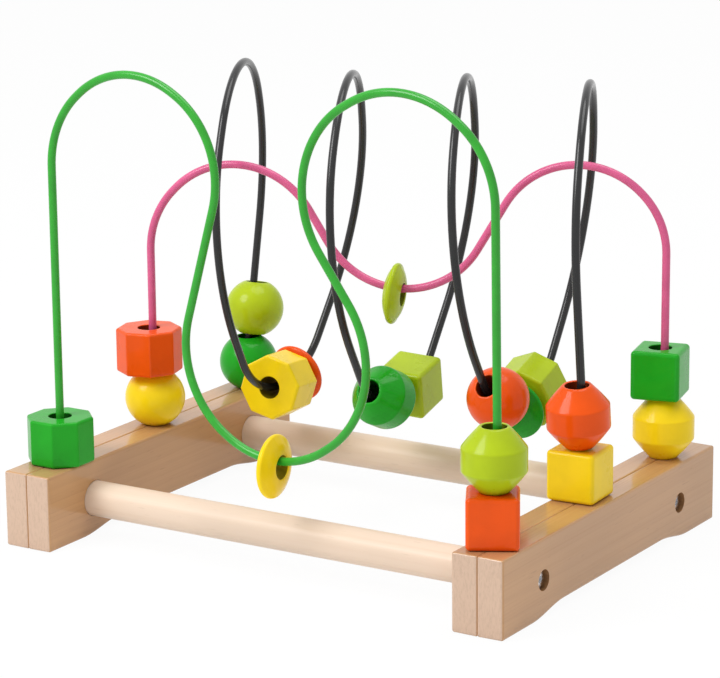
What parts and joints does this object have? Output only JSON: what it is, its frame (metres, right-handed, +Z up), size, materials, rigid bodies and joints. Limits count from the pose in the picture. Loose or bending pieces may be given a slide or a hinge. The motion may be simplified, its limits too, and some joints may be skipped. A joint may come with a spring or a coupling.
{
  "type": "bead maze",
  "caption": "Wooden toy: two rails joined by dowels carry three bent coated wires, with painted wooden beads that slide along them.",
  "frame": {"origin": "middle of the footprint, on the plane of the feet", "axes": "+X along the dowels to the right rail, +Y along the rails to the back, +Z up"},
  "size_m": [0.3394, 0.254, 0.2862],
  "materials": {
    "beech": "clear satin lacquer over fine straight grain",
    "pale_beech": "clear satin lacquer",
    "steel": "plated",
    "green_coat": "thick glossy coating",
    "pink_coat": "thick glossy coating",
    "black_coat": "thick satin coating",
    "green_paint": "glossy paint",
    "lime_paint": "glossy paint",
    "yellow_paint": "glossy paint",
    "orange_paint": "glossy paint"
  },
  "bodies": {
    "frame": {"left_outer_plank": "beech", "left_inner_plank": "beech", "right_inner_plank": "beech", "right_outer_plank": "beech", "front_dowel": "pale_beech", "back_dowel": "pale_beech", "screws": "steel", "green_wire": "green_coat", "pink_wire": "pink_coat", "black_wire": "black_coat"},
    "green_octagon": {"green_octagon": "green_paint"},
    "yellow_disc": {"yellow_disc": "yellow_paint"},
    "orange_cube": {"orange_cube": "orange_paint"},
    "lime_barrel": {"lime_barrel": "lime_paint"},
    "yellow_ball": {"yellow_ball": "yellow_paint"},
    "orange_octagon": {"orange_octagon": "orange_paint"},
    "lime_disc": {"lime_disc": "lime_paint"},
    "yellow_barrel": {"yellow_barrel": "yellow_paint"},
    "green_cube": {"green_cube": "green_paint"},
    "green_ball": {"green_ball": "green_paint"},
    "lime_ball": {"lime_ball": "lime_paint"},
    "yellow_octagon": {"yellow_octagon": "yellow_paint"},
    "orange_disc": {"orange_disc": "orange_paint"},
    "green_barrel": {"green_barrel": "green_paint"},
    "lime_cube": {"lime_cube": "lime_paint"},
    "orange_ball": {"orange_ball": "orange_paint"},
    "green_disc": {"green_disc": "green_paint"},
    "lime_octagon": {"lime_octagon": "lime_paint"},
    "yellow_cube": {"yellow_cube": "yellow_paint"},
    "orange_barrel": {"orange_barrel": "orange_paint"}
  },
  "joints": [
    {"name": "green_octagon_slide", "type": "slide", "parent": "frame", "child": "green_octagon", "axis": [0.001, 0, 1], "range_m": [0, 0.145]},
    {"name": "yellow_disc_swing", "type": "hinge", "parent": "frame", "child": "yellow_disc", "pos_m": [0.00349, -0.09863, 0.12898], "axis": [-0.0366, -0.9993, 0], "range_deg": [-25, 28]},
    {"name": "orange_cube_slide", "type": "slide", "parent": "frame", "child": "orange_cube", "axis": [-0.0105, 0.0004, 0.9999], "range_m": [0, 0.055]},
    {"name": "lime_barrel_slide", "type": "slide", "parent": "orange_cube", "child": "lime_barrel", "axis": [-0.0105, 0.0004, 0.9999], "range_m": [0, 0.055]},
    {"name": "yellow_ball_slide", "type": "slide", "parent": "frame", "child": "yellow_ball", "axis": [0.0015, 0.0005, 1], "range_m": [0, 0.022]},
    {"name": "orange_octagon_slide", "type": "slide", "parent": "yellow_ball", "child": "orange_octagon", "axis": [0.0015, 0.0005, 1], "range_m": [0, 0.022]},
    {"name": "lime_disc_swing", "type": "hinge", "parent": "frame", "child": "lime_disc", "pos_m": [0, 0.046, 0.19046], "axis": [0.287, -0.9579, 0], "range_deg": [-42, 50]},
    {"name": "yellow_barrel_slide", "type": "slide", "parent": "frame", "child": "yellow_barrel", "axis": [0.0021, 0.0006, 1], "range_m": [0, 0.025]},
    {"name": "green_cube_slide", "type": "slide", "parent": "yellow_barrel", "child": "green_cube", "axis": [0.0021, 0.0006, 1], "range_m": [0, 0.025]},
    {"name": "green_ball_slide", "type": "slide", "parent": "frame", "child": "green_ball", "axis": [0.0078, 0.1812, 0.9834], "range_m": [0, 0.017]},
    {"name": "lime_ball_slide", "type": "slide", "parent": "green_ball", "child": "lime_ball", "axis": [0.0078, 0.1812, 0.9834], "range_m": [0, 0.017]},
    {"name": "yellow_octagon_swing", "type": "hinge", "parent": "frame", "child": "yellow_octagon", "pos_m": [-0.08723, 0.04941, 0.11124], "axis": [0.9961, -0.0273, -0.0841], "range_deg": [-36, 12]},
    {"name": "orange_disc_swing", "type": "hinge", "parent": "yellow_octagon", "child": "orange_disc", "pos_m": [-0.08723, 0.04941, 0.11124], "axis": [0.9961, -0.0273, -0.0841], "range_deg": [0, 16]},
    {"name": "green_barrel_swing", "type": "hinge", "parent": "frame", "child": "green_barrel", "pos_m": [-0.00555, 0.04944, 0.11126], "axis": [0.9979, -0.0399, -0.0506], "range_deg": [-9, 8]},
    {"name": "lime_cube_swing", "type": "hinge", "parent": "green_barrel", "child": "lime_cube", "pos_m": [-0.00555, 0.04944, 0.11126], "axis": [0.9979, -0.0399, -0.0506], "range_deg": [0, 8]},
    {"name": "orange_ball_swing", "type": "hinge", "parent": "frame", "child": "orange_ball", "pos_m": [0.07687, 0.04944, 0.12146], "axis": [0.9995, -0.023, -0.0208], "range_deg": [-2, 10]},
    {"name": "green_disc_swing", "type": "hinge", "parent": "orange_ball", "child": "green_disc", "pos_m": [0.07687, 0.04944, 0.12146], "axis": [0.9995, -0.023, -0.0208], "range_deg": [0, 5]},
    {"name": "lime_octagon_swing", "type": "hinge", "parent": "green_disc", "child": "lime_octagon", "pos_m": [0.07687, 0.04944, 0.12146], "axis": [0.9995, -0.023, -0.0208], "range_deg": [0, 5]},
    {"name": "yellow_cube_slide", "type": "slide", "parent": "frame", "child": "yellow_cube", "axis": [-0.0077, -0.0957, 0.9954], "range_m": [0, 0.025]},
    {"name": "orange_barrel_slide", "type": "slide", "parent": "yellow_cube", "child": "orange_barrel", "axis": [-0.0077, -0.0957, 0.9954], "range_m": [0, 0.025]}
  ]
}
